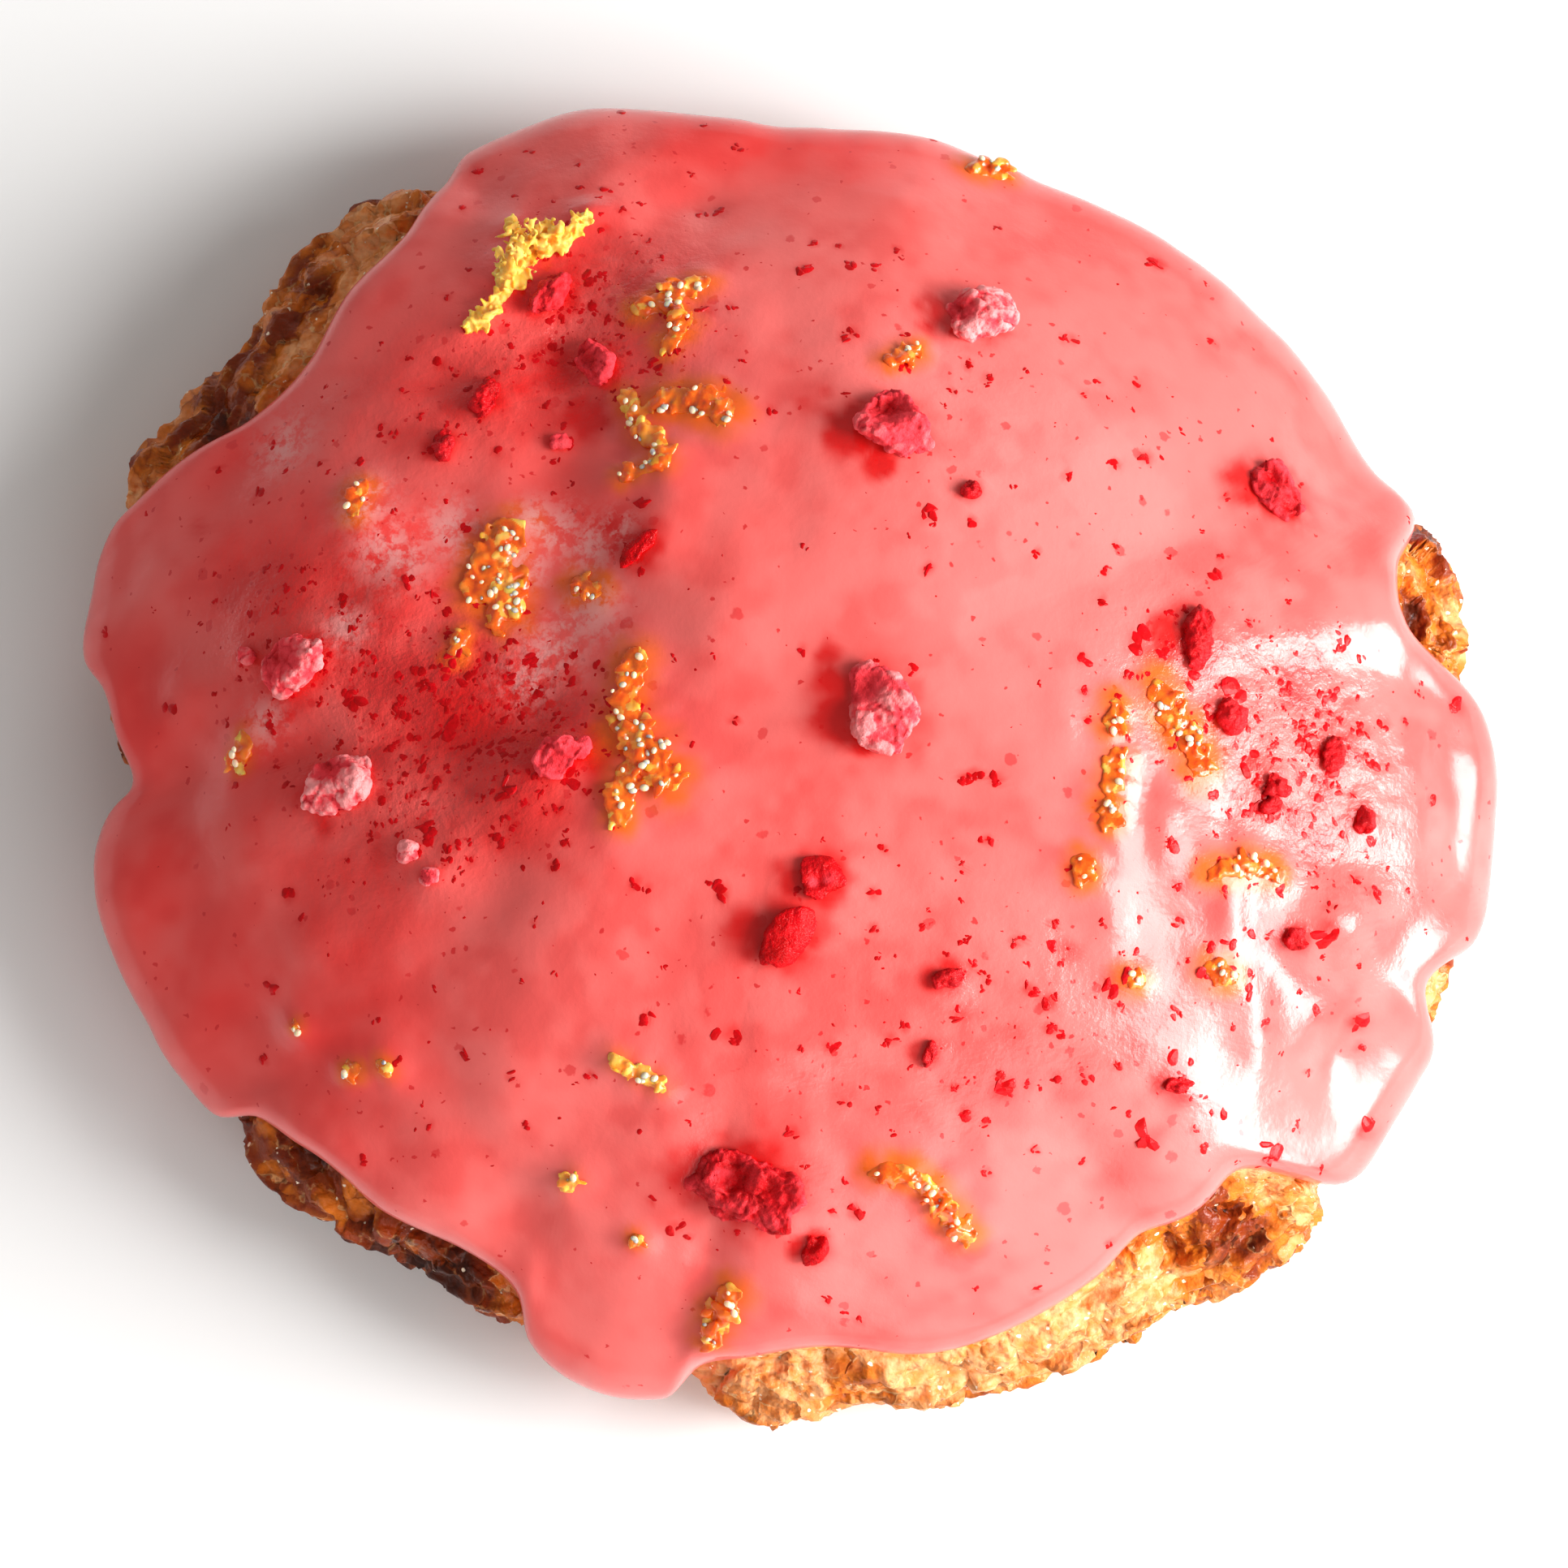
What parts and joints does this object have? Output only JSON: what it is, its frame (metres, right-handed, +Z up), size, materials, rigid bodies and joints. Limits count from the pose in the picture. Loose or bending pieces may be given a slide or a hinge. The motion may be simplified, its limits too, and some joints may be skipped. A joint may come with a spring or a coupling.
{
  "type": "hand pie",
  "caption": "Round baked hand pie with a flaky golden crust, poured pink icing with a wavy edge, and freeze-dried raspberry and orange zest on top.",
  "frame": {"origin": "middle of the flat underside, on the surface the pie rests on", "axes": "+Z up through the pie, +X to the right and +Y away from the viewer in the pictured view"},
  "size_m": [0.1023, 0.0964, 0.0317],
  "materials": {
    "crust": "baked flaky pastry, golden brown with darker edges and a thin sugar glaze",
    "icing": "smooth glossy berry icing with raspberry powder, raspberry pieces and orange zest set in it"
  },
  "bodies": {
    "root": {"crust": "crust", "icing": "icing"}
  },
  "joints": []
}
